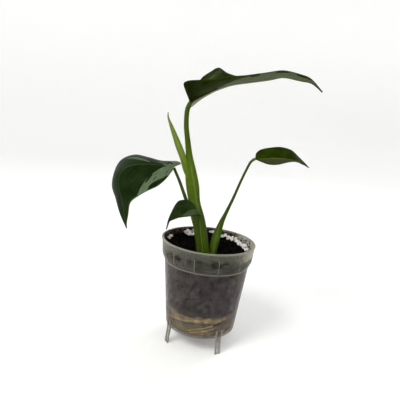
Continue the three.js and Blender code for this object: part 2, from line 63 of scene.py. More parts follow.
class Value:  # an output socket that can be used in sums
    def __init__(self, finish, socket):
        self.finish, self.socket = finish, socket

    def sum(self, operation, first, second=0.0):
        return self.finish.node("ShaderNodeMath", {"operation": operation}, {0: first, 1: second})

    def __add__(self, other):
        return self.sum("ADD", self, other)

    def __radd__(self, other):
        return self.sum("ADD", other, self)

    def __sub__(self, other):
        return self.sum("SUBTRACT", self, other)

    def __rsub__(self, other):
        return self.sum("SUBTRACT", other, self)

    def __mul__(self, other):
        return self.sum("MULTIPLY", self, other)

    def __rmul__(self, other):
        return self.sum("MULTIPLY", other, self)

    def __truediv__(self, other):
        return self.sum("DIVIDE", self, other)

    def __rtruediv__(self, other):
        return self.sum("DIVIDE", other, self)

    def __pow__(self, other):
        return self.sum("POWER", self, other)

    def __abs__(self):
        return self.sum("ABSOLUTE", self)

    def most(self, other):
        return self.sum("MAXIMUM", self, other)

    def toWhole(self):  # distance to the nearest whole number, from 0 to 0.5
        return self.sum("PINGPONG", self, 0.5)

    def rise(self, low, high):  # 0 below low, 1 above high and smooth between
        settings = {"interpolation_type": "SMOOTHSTEP"}
        return self.finish.node("ShaderNodeMapRange", settings, {0: self, 1: low, 2: high, 3: 0.0, 4: 1.0})

    def fall(self, low, high):
        return 1 - self.rise(low, high)


class Finish:  # a material with one Principled shader
    def __init__(self, name, **sockets):
        self.material = bpy.data.materials.new(name)
        self.material.use_nodes = True
        self.tree = self.material.node_tree
        self.shader = self.tree.nodes["Principled BSDF"]
        self.set(**sockets)

    def set(self, **sockets):  # baseColor goes to "Base Color", and so on
        for key, value in sockets.items():
            words = "".join(" " + c if c.isupper() else c for c in key)
            name = words.title().replace("Ior", "IOR")
            self.feed(self.shader.inputs[name], value)

    def feed(self, socket, value):
        if isinstance(value, Value):
            self.tree.links.new(value.socket, socket)
        elif isinstance(value, str):
            socket.default_value = paint(value)
        else:
            socket.default_value = value

    def node(self, kind, settings=None, inputs=None, output=0):
        made = self.tree.nodes.new(kind)
        for key, value in (settings or {}).items():
            if key == "stops":
                self.setStops(made.color_ramp.elements, value)
            else:
                setattr(made, key, value)
        for key, value in (inputs or {}).items():
            self.feed(made.inputs[key], value)
        return Value(self, made.outputs[output])

    def setStops(self, elements, stops):
        while len(elements) < len(stops):
            elements.new(0.5)
        for element, (position, code) in zip(elements, stops):
            element.position, element.color = position, paint(code)

    def place(self):  # millimetres from the middle of the rim, like the shapes
        raw = self.node("ShaderNodeTexCoord", output="Object")
        offset = tuple(rimMiddle * -1000)
        scaled = {0: raw, 1: (1000, 1000, 1000), 2: offset}
        return self.node("ShaderNodeVectorMath", {"operation": "MULTIPLY_ADD"}, scaled)

    def parts(self, vector):
        split = self.node("ShaderNodeSeparateXYZ", inputs={0: vector})
        return [Value(self, socket) for socket in split.socket.node.outputs]

    def surface(self):  # the two numbers of the piece's own map
        return self.parts(self.node("ShaderNodeUVMap", {"uv_map": "surface"}))[:2]

    def vector(self, x, y, z=0.0):
        return self.node("ShaderNodeCombineXYZ", inputs={0: x, 1: y, 2: z})

    def grain(self, vector, scale, detail=2.0, roughness=0.5, distortion=0.0):
        inputs = {
            "Vector": vector, "Scale": scale, "Detail": detail, "Roughness": roughness,
            "Distortion": distortion,
        }
        return self.node("ShaderNodeTexNoise", inputs=inputs)

    def cells(self, vector, scale, randomness=1.0):
        inputs = {"Vector": vector, "Scale": scale, "Randomness": randomness}
        return self.node("ShaderNodeTexVoronoi", inputs=inputs)

    def facing(self):  # 1 where the surface faces the eye, 0 at its outline
        return 1 - self.node("ShaderNodeLayerWeight", inputs={"Blend": 0.5}, output="Facing")

    def mix(self, factor, first, second):
        return self.node("ShaderNodeMix", {"data_type": "RGBA"}, {0: factor, 6: first, 7: second}, 2)

    def layered(self, colour, *layers):  # each layer is how much of it shows, and its colour
        for share, layer in layers:
            colour = self.mix(share, colour, layer)
        return colour

    def bump(self, height, depth, strength=1.0):  # depth in mm
        inputs = {"Strength": strength, "Distance": depth * 0.001, "Height": height}
        return self.node("ShaderNodeBump", inputs=inputs, output="Normal")


# Making pieces

def newObject(name, data):
    made = bpy.data.objects.new(name, data)
    bpy.context.scene.collection.objects.link(made)
    return made


def newData(name, mesh):
    data = bpy.data.meshes.new(name)
    mesh.to_mesh(data)
    mesh.free()
    return data


def finishPiece(mesh, name, finishes, node=None, smooth=True):  # node is what it replaces
    bmesh.ops.transform(mesh, matrix=toFrame, verts=mesh.verts)
    piece = newObject(name, newData(name, mesh))
    for finish in finishes:
        piece.data.materials.append(finish.material)
    for face in piece.data.polygons:
        face.use_smooth = smooth
    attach(piece, "root")
    if node:
        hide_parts(node)
    return piece


def giveThickness(piece, depths):  # a depth in mm for each vertex
    most = max(depths.values())
    group = piece.vertex_groups.new(name="thickness")
    for index, depth in depths.items():
        group.add([index], depth / most, "REPLACE")
    solidify = piece.modifiers.new("thickness", "SOLIDIFY")
    solidify.thickness = most * 0.001
    solidify.offset = -1
    solidify.vertex_group = group.name
    return solidify


def pointOn(points, t):  # on a smooth curve through the points, t from 0 to 1
    place = t * (len(points) - 1)
    k = min(int(place), len(points) - 2)
    w = place - k
    here, ahead = points[k], points[k + 1]
    before = points[k - 1] if k > 0 else here * 2 - ahead
    after = points[k + 2] if k + 2 < len(points) else ahead * 2 - here
    leave, arrive = (ahead - before) / 2, (after - here) / 2
    bend = (ahead - here) * 3 - leave * 2 - arrive
    return here + leave * w + bend * w * w + (here * 2 - ahead * 2 + leave + arrive) * w ** 3


def directionOn(points, t, step=0.002):
    return (pointOn(points, min(t + step, 1)) - pointOn(points, max(t - step, 0))).normalized()


def onCircle(out, angle, z):  # round the middle of the pot
    return Vector((out * math.cos(angle), out * math.sin(angle), z))


def facesOf(verts):
    return {face for vert in verts for face in vert.link_faces}


def newGrid(along, across, mesh=None):  # a unit square whose places are also its map
    mesh = mesh or bmesh.new()
    surface = mesh.loops.layers.uv.get("surface") or mesh.loops.layers.uv.new("surface")
    toUnit = Matrix.Translation((0.5, 0.5, 0))
    made = bmesh.ops.create_grid(mesh, x_segments=along, y_segments=across, size=0.5, matrix=toUnit)
    for face in facesOf(made["verts"]):
        for loop in face.loops:
            loop[surface].uv = loop.vert.co.xy
    return mesh, made["verts"]


def closeEnds(mesh):
    edges = [edge for edge in mesh.edges if edge.is_boundary]
    bmesh.ops.holes_fill(mesh, edges=edges, sides=0)


# Stations are [x, y, z, half width, half depth], with the depth towards the viewer at the first. A
# ring is the middle, the two directions and the half sizes at one step along them.
def ringsAlong(stations, steps):
    path = [Vector(station[:3]) for station in stations]
    sizes = [Vector((station[3], station[4], 0)) for station in stations]
    deep = Vector((0, -1, 0))
    rings = []
    for i in range(steps + 1):
        t = i / steps
        ahead = directionOn(path, t)
        deep = (deep - ahead * deep.dot(ahead)).normalized()
        rings.append((pointOn(path, t), deep.cross(ahead), deep, pointOn(sizes, t)))
    return rings


def onRing(ring, angle, scale):
    middle, wide, deep, size = ring
    sideways = wide * (size.x * scale * math.cos(angle))
    return middle + sideways + deep * (size.y * scale * math.sin(angle))


def addTube(mesh, stations, steps, sides, shape=None):  # shape(t, angle) scales the section
    mesh, verts = newGrid(steps, sides, mesh)
    rings = ringsAlong(stations, steps)
    for vert in verts:
        t, angle = vert.co.x, -2 * math.pi * vert.co.y
        scale = shape(t, angle) if shape else 1
        vert.co = onRing(rings[round(t * steps)], angle, scale)
    bmesh.ops.remove_doubles(mesh, verts=verts, dist=1e-4)
    closeEnds(mesh)
    return mesh


def spun(profile, steps):  # a profile of (out, height), turned once round
    mesh = bmesh.new()
    verts = [mesh.verts.new((x, 0, z)) for x, z in profile]
    edges = [mesh.edges.new(pair) for pair in zip(verts, verts[1:])]
    bmesh.ops.spin(
        mesh, geom=verts + edges, cent=(0, 0, 0), axis=(0, 0, 1), angle=2 * math.pi, steps=steps,
        use_merge=True, use_duplicate=False,
    )
    bmesh.ops.remove_doubles(mesh, verts=mesh.verts, dist=1e-3)
    bmesh.ops.recalc_face_normals(mesh, faces=mesh.faces)
    return mesh


def arc(x, z, radius, start, end, count=5):
    angles = [math.radians(start + (end - start) * k / (count - 1)) for k in range(count)]
    return [(x + radius * math.cos(a), z + radius * math.sin(a)) for a in angles]


def hump(x, middle, width):  # rises softly to 1 and falls again
    return math.exp(-((x - middle) / width) ** 2)


# Leaves

# Each blade hangs between three guides from base to tip: the midrib and both margins, left and right
# as seen from above with the tip ahead. With lead above 1 the margins run ahead of the midrib. arch
# bows each half by that share of its width, keel is the extra depth of the midrib's base in mm, wave
# is a margin's ripple as [mm, how many, start], and quilt is the relief in mm between the side veins,
# which lean towards the tip by lean. Patches are [along, side from -1 to 1, lean, half length, half
# width, strength] and paint the pale: mostly marbling, but some are a painted sheen where a half of the
# blade catches the light at a slant. A strength below 0 takes the pale away.
leaves = {
    "upper": {
        "midrib": [
            [-18, -9, 76.5], [-14.5, -8.5, 79.5], [-10, -8, 82.5], [-4.5, -8, 85.5], [3, -7.5, 88.5],
            [12, -7, 90.5], [21.5, -6.5, 92.5], [29.5, -6, 94.5], [38, -6.5, 93.5], [44.5, -7, 92.5],
            [50.5, -7.5, 88.5],
        ],
        "right": [
            [-18, -10.5, 78], [-21, -20, 84], [-19, -24, 86], [-12, -26.5, 86.5], [-5.5, -26, 87.5],
            [1, -25, 90], [10, -24, 91.5], [18.5, -23, 93], [27.5, -20.5, 95.5], [36, -16.5, 95.5],
            [43, -11, 94], [50.5, -8, 88.5],
        ],
        "left": [
            [-17.5, -7.5, 78.5], [-15, 0, 86], [-13.5, 6, 91.5], [-9.5, 9, 95.5], [-5, 10.5, 97.5],
            [0.5, 11, 95], [8, 11, 94.5], [19.5, 10.5, 96], [31, 8, 98], [39.5, 3, 96.5],
            [45, -2, 94.5], [50.5, -7, 88.5],
        ],
        "lead": 1.6, "arch": -0.05, "keel": 2.4, "rows": 168, "columns": 60,
        "wave": {"left": [0.5, 3, 0], "right": [0.4, 3, 0.3]},
        "veins": 13, "lean": 0.45, "quilt": 0.07,
        "over": {
            "deep": "#172207", "light": "#273412", "vein": "#374321", "pale": "#535d3e",
            "midrib": "#4c5727", "margin": "#404b27", "streaks": 0.25,
            "patches": [
                # the first patch, on the raised far half, is a painted sheen; the others are marbling
                [0.34, -0.78, 0, 0.12, 0.3, 0.55], [0.62, 0.5, 0.3, 0.22, 0.7, 0.9],
                [0.7, -0.55, 0.3, 0.22, 0.6, 0.85],
            ],
        },
        "under": {
            "deep": "#121a02", "light": "#202a05", "vein": "#353f14", "pale": "#5a6349",
            "midrib": "#8d927a", "margin": "#354013", "streaks": 0.6,
            "patches": [
                [0.72, 0.55, 0.1, 0.26, 1.2, 1], [0.585, 0.97, 0, 0.03, 0.12, -0.9],
                [0.53, 0.97, 0, 0.04, 0.08, -0.9], [0.72, 0.95, 0, 0.04, 0.08, -0.8],
                [0.86, 0.95, 0, 0.06, 0.2, -0.7], [0.7, -0.55, 0.1, 0.24, 0.8, 0.8],
            ],
        },
    },
    "left": {
        "midrib": [
            [-24, -5, 40.5], [-30.5, -5.5, 41], [-38, -6.5, 41], [-45.5, -8, 40], [-51, -9.5, 37],
            [-53, -11, 31], [-51.5, -12, 24], [-49, -12.5, 16], [-46.5, -12.5, 4.5],
        ],
        "left": [
            [-23.5, -7, 40], [-26, -14, 35.5], [-30, -17, 31.5], [-35, -19, 28.5], [-39.5, -20, 25],
            [-43.5, -19.5, 21], [-45, -17.5, 15.5], [-46, -15, 10], [-46.2, -13, 4.5],
        ],
        "right": [
            [-23, -4, 41], [-20.5, 0, 42.5], [-23.5, 5, 43.5], [-33, 10, 42], [-41.5, 12, 42.5],
            [-50, 12, 43], [-57.5, 10, 39.5], [-60.5, 6, 32.5], [-60, 1, 25], [-55.5, -4, 18.5],
            [-51, -9, 11], [-46.8, -12, 4.5],
        ],
        "lead": 1.5, "arch": 0.05, "keel": 0.9, "rows": 150, "columns": 60,
        "wave": {"left": [0.4, 2, 0.1], "right": [0.5, 2, 0.4]},
        "veins": 12, "lean": 0.45, "quilt": 0.03,
        "over": {
            "deep": "#101c07", "light": "#1a2a0f", "vein": "#2a3a1b", "pale": "#626f55",
            "midrib": "#3f4f31", "margin": "#5f6e4e", "streaks": 0.12,
            "patches": [
                [0.26, -0.6, 0.33, 0.16, 0.95, 1.25], [0.45, 0.4, 0.24, 0.04, 0.32, 0.62],
                # the patch at 0.13, 0.72 is a painted grey sheen on the lobe that curls back by the stalk
                [0.25, 0.3, 0.2, 0.07, 0.32, 0.6], [0.13, 0.72, 0, 0.1, 0.35, 0.8],
                [0.08, -0.2, 0, 0.1, 0.9, 0.85],
                [0.255, -1, 0, 0.13, 0.26, -2], [0.378, -0.58, 0.24, 0.017, 0.14, -2],
                [0.31, -0.62, 0.24, 0.008, 0.09, -1.2], [0.15, -0.5, 0.2, 0.012, 0.12, -1],
            ],
        },
        "under": {
            "deep": "#2a381e", "light": "#3f4d30", "vein": "#4f5e40", "pale": "#717c64",
            "midrib": "#687542", "margin": "#606e53", "streaks": 0.2,
            "patches": [
                [0.26, -0.6, 0.33, 0.16, 0.95, 1.1], [0.42, 0.33, 0.24, 0.03, 0.3, 0.9],
                [0.2, 0.4, 0, 0.13, 0.4, 0.8], [0.25, -1, 0, 0.13, 0.3, -2],
            ],
        },
    },
    "small": {
        "midrib": [
            [-6, -16, 18], [-8.5, -17, 20.5], [-12, -17.5, 22.5], [-15.5, -18, 22.5], [-19, -18.5, 20.5],
            [-21.5, -19, 17], [-22.5, -19.5, 12.5], [-23.5, -19.5, 8.5],
        ],
        "left": [
            [-6, -17, 17.5], [-8.5, -20, 18], [-12, -22, 17.5], [-16.5, -22.5, 16.5], [-19.5, -22, 15],
            [-22, -21, 13], [-23.3, -20, 8.5],
        ],
        "right": [
            [-6.5, -15, 18.5], [-8.5, -15, 20.5], [-11, -14.5, 23.5], [-14.5, -13, 24.5],
            [-18.5, -12.5, 23.5], [-20.5, -13.5, 21], [-22, -16, 17], [-23, -18, 13.5], [-23.6, -19, 8.5],
        ],
        "lead": 1.4, "arch": 0.05, "keel": 0.4, "rows": 96, "columns": 40,
        "wave": {"left": [0, 1, 0], "right": [0, 1, 0]},
        "veins": 9, "lean": 0.42, "quilt": 0.04,
        "over": {
            "deep": "#142208", "light": "#212f12", "vein": "#2d3c1d", "pale": "#434e33",
            "midrib": "#2f3f21", "margin": "#1d2a10", "streaks": 0.12,
            # a painted sheen across the base of the blade
            "patches": [[0.2, -0.35, 0.3, 0.2, 0.8, 0.8]],
        },
        "under": {
            "deep": "#2b3922", "light": "#3c4a30", "vein": "#49593d", "pale": "#64715a",
            "midrib": "#5c6c3b", "margin": "#3c4a30", "streaks": 0.2,
            # the same painted sheen on the under face
            "patches": [[0.2, -0.35, 0.3, 0.2, 0.8, 0.6]],
        },
    },
    "right": {
        "midrib": [
            [20.5, -4, 50], [26.5, -4, 50.5], [34, -4.5, 51.5], [40.5, -5, 51.5], [45.5, -5.5, 51],
            [50, -6, 48.5],
        ],
        "right": [
            [21, -5, 49.5], [23, -8.5, 49], [27, -11.5, 48.5], [32, -12.5, 49], [37.5, -11.5, 50.5],
            [42.5, -9, 51], [46, -7, 50], [50, -6.5, 48.5],
        ],
        "left": [
            [20.5, -3, 51], [21, -1, 53], [23.5, 1.5, 55], [28.5, 3, 56.5], [34.5, 3, 57.5],
            [40.5, 2, 56.5], [44.5, -0.5, 53.5], [48, -3.5, 50.5], [50, -5.5, 48.5],
        ],
        "lead": 1.4, "arch": 0.04, "keel": 0.4, "rows": 96, "columns": 40,
        "wave": {"left": [0, 1, 0], "right": [0.2, 2, 0]},
        "veins": 9, "lean": 0.42, "quilt": 0.05,
        "over": {
            "deep": "#1c2703", "light": "#2a3b06", "vein": "#36460f", "pale": "#383d26",
            "midrib": "#7d8f36", "margin": "#232e05", "streaks": 0.12,
            # a painted sheen along the near half, which is seen at a slant
            "patches": [[0.45, 0.6, 0, 0.6, 0.75, 1]],
        },
        "under": {
            "deep": "#3a4624", "light": "#495632", "vein": "#56633f", "pale": "#687455",
            "midrib": "#748542", "margin": "#34421d", "streaks": 0.2,
            # the same painted sheen on the near half's under face
            "patches": [[0.5, 0.5, 0, 0.3, 0.5, 0.5]],
        },
    },
}

leafFaces = {
    "over": {"roughness": 0.36, "rib": [0.012, 0.035], "ribShows": 0.55},
    "under": {"roughness": 0.5, "rib": [0.02, 0.05], "ribShows": 0.9},
}
bladeLook = {
    "specular": 0.009,
    "thickness": 0.45,  # mm
    "edge": 0.45,  # share of it left at the margin
    "ribWidth": 0.045,  # share of the half's width
    "groove": 0.22,  # mm, along the midrib on the upper face
    "veinShift": 0.37,  # of the right half's side veins, as a share of their spacing
    "crowding": 1.25,  # of the columns towards the midrib
}


# paints the pale of the patches: marbling, and a painted sheen where a patch stands for light caught at a
# slant
def marblingAndSheen(patches, along, side):
    out = abs(side)
    pale = dark = side * 0
    for s, v, lean, halfLength, halfWidth, strength in patches:
        down = (along - s - (out - abs(v)) * lean) / halfLength
        far = down ** 2 + ((side - v) / halfWidth) ** 2
        patch = far.fall(0.45, 1.3) * abs(strength)
        if strength > 0:
            pale = pale.most(patch)
        else:
            dark = dark.most(patch)
    return pale - dark


def leafFinish(name, leaf, face):
    look, kind = leaf[face], leafFaces[face]
    finish = Finish(name + face.title(), specularIorLevel=bladeLook["specular"])
    along, across = finish.surface()
    side = across * 2 - 1
    out = abs(side)
    half = side.rise(-0.01, 0.01)
    place = finish.place()
    # The side veins, and fine streaks that run with them
    phase = (along - out * leaf["lean"]) * leaf["veins"] + half * bladeLook["veinShift"]
    vein = phase.toWhole().fall(0.0, 0.12) * out.fall(0.7, 1.0) * out.rise(0.0, 0.08)
    streaks = finish.grain(finish.vector(phase * 0.9, out * 1.6, half * 7), 1.0, 5, 0.6, 1.2)
    clouds = finish.grain(place, 0.13, 3, 0.55)
    # Marbling and painted sheen keep to the veins, with torn edges and green freckles
    torn = finish.grain(finish.vector(phase * 0.9, out * 1.8, half * 3), 1.0, 5, 0.7, 0.8)
    freckles = finish.grain(finish.vector(phase * 5, out * 8, half * 5), 1.0, 3, 0.6)
    marbleAndSheen = (marblingAndSheen(look["patches"], along, side) + (torn - 0.5) * 1.6).rise(0.42, 0.8)
    midrib = out.fall(*kind["rib"]) * along.fall(0.6, 1.0)
    pores = finish.grain(place, 3.2, 2, 0.6)
    colour = finish.layered(
        look["deep"],
        (clouds.rise(0.32, 0.68), look["light"]),
        (streaks.rise(0.48, 0.72) * look["streaks"], look["vein"]),
        (vein * 0.22, look["vein"]),
        (marbleAndSheen * (0.55 + freckles.rise(0.35, 0.65) * 0.45), look["pale"]),
        (midrib * kind["ribShows"], look["midrib"]),
        (out.rise(0.955, 0.99) * 0.6, look["margin"]),
        (along.rise(0.965, 1.0) * 0.75, "#2b2416"),  # the dry tip
    )
    finish.set(
        baseColor=colour,
        roughness=kind["roughness"] + (clouds - 0.5) * 0.16 + marbleAndSheen * 0.06,
        normal=finish.bump(vein * -0.3 + streaks * 0.3 + pores * 0.12, 0.09, 0.6),
    )
    return finish


def bladeRows(leaf):
    guides = {key: [Vector(point) for point in leaf[key]] for key in ("midrib", "left", "right")}
    rows = []
    for i in range(leaf["rows"] + 1):
        s = i / leaf["rows"]
        rootAt = s ** leaf["lead"]
        root, ahead = pointOn(guides["midrib"], rootAt), directionOn(guides["midrib"], rootAt)
        calm = min(1, 6 * s, 6 * (1 - s))  # no relief at the base and the tip
        halves = {}
        for key, direction in (("left", -1), ("right", 1)):
            vein = pointOn(guides[key], s) - root
            up = (vein.cross(ahead) * direction).normalized()
            height, count, start = leaf["wave"][key]
            ripple = height * math.sin(2 * math.pi * (count * s + start)) * calm
            halves[key] = (vein, up, ripple)
        rows.append((root, halves, calm))
    return rows


def makeBlade(name, leaf):
    mesh, verts = newGrid(leaf["rows"], leaf["columns"])
    rows = bladeRows(leaf)
    depths = {}
    for vert in verts:
        s, side = vert.co.x, 1 - 2 * vert.co.y
        share = abs(side) ** bladeLook["crowding"]
        root, halves, calm = rows[round(s * leaf["rows"])]
        vein, up, ripple = halves["left" if side < 0 else "right"]
        shift = bladeLook["veinShift"] if side > 0 else 0
        phase = (s - share * leaf["lean"]) * leaf["veins"] + shift
        fade = calm * min(1, share * 8) * (1 - share ** 4)
        rib = hump(share, 0, bladeLook["ribWidth"])
        lift = leaf["arch"] * vein.length * 4 * share * (1 - share) + ripple * share ** 2
        lift -= leaf["quilt"] * fade * math.cos(2 * math.pi * phase)
        lift -= bladeLook["groove"] * rib * (1 - s) * calm
        vert.co = root + vein * share + up * lift
        edge = 1 - (1 - bladeLook["edge"]) * max(0, share - 0.8) / 0.2
        depths[vert.index] = bladeLook["thickness"] * edge + leaf["keel"] * (1 - s) * rib
    surface = mesh.loops.layers.uv["surface"]
    for face in mesh.faces:
        for loop in face.loops:  # the map's second number is 0 at the left margin and 1 at the right
            u, v = loop[surface].uv
            side = 1 - 2 * v
            share = math.copysign(abs(side) ** bladeLook["crowding"], side)
            loop[surface].uv = (u, (share + 1) / 2)
    finishes = [leafFinish(name, leaf, face) for face in ("over", "under")]
    node = "blade_" + name
    piece = finishPiece(mesh, name + "Blade", finishes, node)
    solidify = giveThickness(piece, depths)
    solidify.material_offset = 1
    solidify.material_offset_rim = 1


for leafName, leaf in leaves.items():
    makeBlade(leafName, leaf)
print("blades made")


# Stalks: stations from the crown up. A sheath wraps the lower part, and its thin margins meet along a
# groove of [start, end, width, depth]: where it lies round the stalk at the bottom and at the end of
# the sheath, both in radians, then its width in radians and its depth as a share of the radius. edge
# is the margins' colour and lit is how much of it shows.
stalks = {
    "upper": {
        "stations": [
            [-1.2, -12, -11, 3.4, 2.3], [-3.2, -12, -0.5, 3.6, 2.4], [-6.5, -11.5, 12.5, 3.6, 2.4],
            [-10, -11, 23, 3.2, 2.4], [-12, -11, 32, 3.6, 2.5], [-14, -10.5, 40.5, 3, 2.2],
            [-15.5, -10, 48, 1.9, 1.7], [-17, -10, 55.5, 1.5, 1.5], [-18.5, -10, 63, 1.35, 1.35],
            [-19, -9.5, 68.5, 1.3, 1.3], [-18.8, -9.5, 73, 1.3, 1.3], [-17.4, -9.2, 76.2, 1.4, 1.4],
        ],
        "steps": 180, "sides": 56, "sheathEnd": 0.5, "groove": [2.3, 1.75, 0.28, 0.1],
        "stops": [(0, "#304005"), (0.3, "#3f5308"), (0.5, "#4a5d0e"), (0.64, "#3c4c0a"), (1, "#3b4c11")],
        "edge": "#66763a", "lit": 0.4,
    },
    "left": {
        "stations": [
            [-2.2, -8.4, -11, 1.6, 1.5], [-7, -7.8, 5.5, 1.5, 1.4], [-11.5, -7, 16.5, 1.2, 1.2],
            [-15.5, -6.5, 24, 1, 1], [-19.5, -6, 32.5, 0.85, 0.85], [-22.5, -5.4, 38, 0.8, 0.8],
            [-23.7, -5.1, 40.2, 0.8, 0.8],
        ],
        "steps": 90, "sides": 28, "sheathEnd": 0.35, "groove": [0.3, 0.3, 0.3, 0.12],
        "stops": [(0, "#3a4a09"), (0.5, "#374708"), (1, "#333f0a")],
        "edge": "#657238", "lit": 0.5,
    },
    "small": {
        "stations": [
            [0.3, -15.6, -11, 1.9, 1], [-1, -15.8, -2, 1.9, 1], [-3.5, -16, 8, 1.6, 1],
            [-5, -16, 14.5, 1.2, 1], [-6, -16.1, 17.8, 0.9, 0.8],
        ],
        "steps": 70, "sides": 36, "sheathEnd": 0.75, "groove": [0.35, 0.55, 0.3, 0.14],
        "stops": [(0, "#324204"), (0.5, "#344506"), (1, "#2b390a")],
        "edge": "#8b9b58", "lit": 0.9,
    },
    "right": {
        "stations": [
            [1.6, -12.8, -11, 2.6, 1.9], [2.5, -12.3, -3, 2.6, 1.9], [4.0, -11, 5.5, 2.25, 1.7],
            [6, -9.8, 13.5, 1.45, 1.4], [8, -8.5, 19, 1, 1], [11, -7.5, 27.5, 0.8, 0.8],
            [14, -6.5, 37, 0.7, 0.7], [17.5, -5, 46.5, 0.7, 0.7], [19, -4.5, 48.8, 0.75, 0.75],
            [20.4, -4, 49.9, 0.8, 0.8],
        ],
        "steps": 130, "sides": 36, "sheathEnd": 0.33, "groove": [2.2, 1.2, 0.28, 0.12],
        "stops": [(0, "#3c4f09"), (0.25, "#3a4d0a"), (0.4, "#2e3e0a"), (0.8, "#344511"), (1, "#586a25")],
        "edge": "#66763a", "lit": 0.25,
    },
}


def stalkFinish(name, look):
    finish = Finish(name, specularIorLevel=0.05)
    along, around = finish.surface()
    colour = finish.node("ShaderNodeValToRGB", {"stops": look["stops"]}, {0: along})
    place = finish.place()
    # Streaks run the length of the stalk, and wrap round it without a seam
    x, y, z = finish.parts(place)
    fibres = finish.grain(finish.vector(x * 1.9, y * 1.9, z * 0.09), 1.0, 3, 0.6)
    clouds = finish.grain(place, 0.16, 2, 0.5)
    dark = finish.mix(0.5, colour, "#33450c")
    pale = finish.mix(0.4, colour, look["edge"])
    # The pale margin of the sheath, along its groove
    start, end = look["groove"][:2]
    slide = along / look["sheathEnd"]
    middle = (slide * (end - start) + start) / (2 * math.pi)
    off = (around * -1 + 1 - middle).toWhole()
    margin = off.fall(0.012, 0.035) * along.fall(look["sheathEnd"] - 0.03, look["sheathEnd"])
    colour = finish.layered(
        colour,
        (fibres.rise(0.5, 0.75) * 0.5, dark),
        (clouds.rise(0.5, 0.75) * 0.45, pale),
        (margin * look["lit"], look["edge"]),
    )
    finish.set(
        baseColor=colour,
        roughness=0.36 + (clouds - 0.5) * 0.2,
        normal=finish.bump(fibres, 0.08, 0.6),
    )
    return finish


def makeStalk(name, look):
    start, end, width, depth = look["groove"]

    def section(t, angle):
        slide = t / look["sheathEnd"]
        middle = start + (end - start) * slide
        apart = (angle - middle + math.pi) % (2 * math.pi) - math.pi
        fade = min(1, max(0, (1.06 - slide) * 8))
        ridge = 0.5 * hump(apart, width * 0.75, width * 0.45) if apart > 0 else 0
        return 1 - depth * fade * (hump(apart, 0, width * 0.5) - ridge)

    mesh = addTube(None, look["stations"], look["steps"], look["sides"], section)
    finishPiece(mesh, name + "Stalk", [stalkFinish(name + "Stalk", look)], "stalk_" + name)


for stalkName, look in stalks.items():
    makeStalk(stalkName, look)
print("stalks made")


# New leaf: a blade still rolled up, its outer margin lapped over
newLeaf = {
    "stations": [
        [-13.5, -12, 34.5, 0.9, 0.8], [-16, -12, 40.5, 1.9, 1.2], [-18.5, -12, 47, 1.9, 1.4],
        [-21.5, -11.5, 53, 1.9, 1.5], [-24, -11, 58, 1.5, 1.3], [-26.5, -10.5, 63, 1.05, 1],
        [-28.5, -10, 67, 0.5, 0.5], [-29, -10, 70, 0.25, 0.25],
    ],
    "steps": 120, "sides": 72,
    "turns": 1.35,
    "lap": 0.16,  # share of the width that a turn takes
    "filled": 0.6,  # share of the lap that the leaf's own thickness takes
    "start": 0.9,  # radians, where the outer margin lies
    "colours": ["#5d6e27", "#72833a", "#4c5b23"],
    "sheath": "#4b610f",
}


def newLeafFinish():
    finish = Finish("newLeaf", specularIorLevel=0.08)
    along, around = finish.surface()
    x, y, z = finish.parts(finish.place())
    veins = finish.grain(finish.vector(x * 2.6 + z * 0.5, y * 2.6, z * 0.12), 1.0, 3, 0.6)
    main, pale, dark = newLeaf["colours"]
    colour = finish.layered(
        main,
        (veins.rise(0.4, 0.7) * 0.6, pale),
        (along.rise(0.75, 1.0) * 0.7, dark),
        (along.fall(0.12, 0.4), newLeaf["sheath"]),
        (around.fall(0.0, 0.05) * 0.5, pale),
    )
    finish.set(
        baseColor=colour,
        roughness=0.38 + (veins - 0.5) * 0.1,
        normal=finish.bump(veins, 0.06, 0.6),
    )
    return finish


def makeNewLeaf():
    mesh, verts = newGrid(newLeaf["steps"], newLeaf["sides"])
    rings = ringsAlong(newLeaf["stations"], newLeaf["steps"])
    depths = {}
    for vert in verts:
        ring = rings[round(vert.co.x * newLeaf["steps"])]
        turn = newLeaf["turns"] * vert.co.y
        depths[vert.index] = newLeaf["lap"] * newLeaf["filled"] * ring[3].x
        vert.co = onRing(ring, newLeaf["start"] - 2 * math.pi * turn, 1 - newLeaf["lap"] * turn)
    piece = finishPiece(mesh, "rolledLeaf", [newLeafFinish()], "new_leaf")
    giveThickness(piece, depths)


makeNewLeaf()
print("new leaf made")


# Pot: radii of the outside, then heights. ring is half the height of the ring under the collar.
pot = {
    "rim": 27.5, "underLip": 27.1, "bevelRadius": 26.4, "wallTop": 24.75, "base": 20.7,
    "bodyHeight": 52.8, "collarHeight": 12.6, "bevelHeight": 3.3, "lipHeight": 0.75,
    "wall": 0.8, "floor": 1.0, "corner": 1.2, "lip": 0.42, "ring": 0.32, "steps": 160,
    "hole": 2.4, "holeCircle": 12, "feet": [33, 123, 213, 303], "ribs": 12, "firstRib": 16,
}
floorUnder = -pot["bodyHeight"]
floorTop = floorUnder + pot["floor"]
collarAt = -pot["collarHeight"]
bevelAt = collarAt + pot["bevelHeight"]


def insideRadius(z):  # of the wall, which has three straight parts
    if z > bevelAt:
        low, high = (pot["bevelRadius"], bevelAt), (pot["underLip"], 0)
    elif z > collarAt:
        low, high = (pot["wallTop"], collarAt), (pot["bevelRadius"], bevelAt)
    else:
        low, high = (pot["base"], floorUnder), (pot["wallTop"], collarAt)
    share = (z - low[1]) / (high[1] - low[1])
    return low[0] + (high[0] - low[0]) * share - pot["wall"]


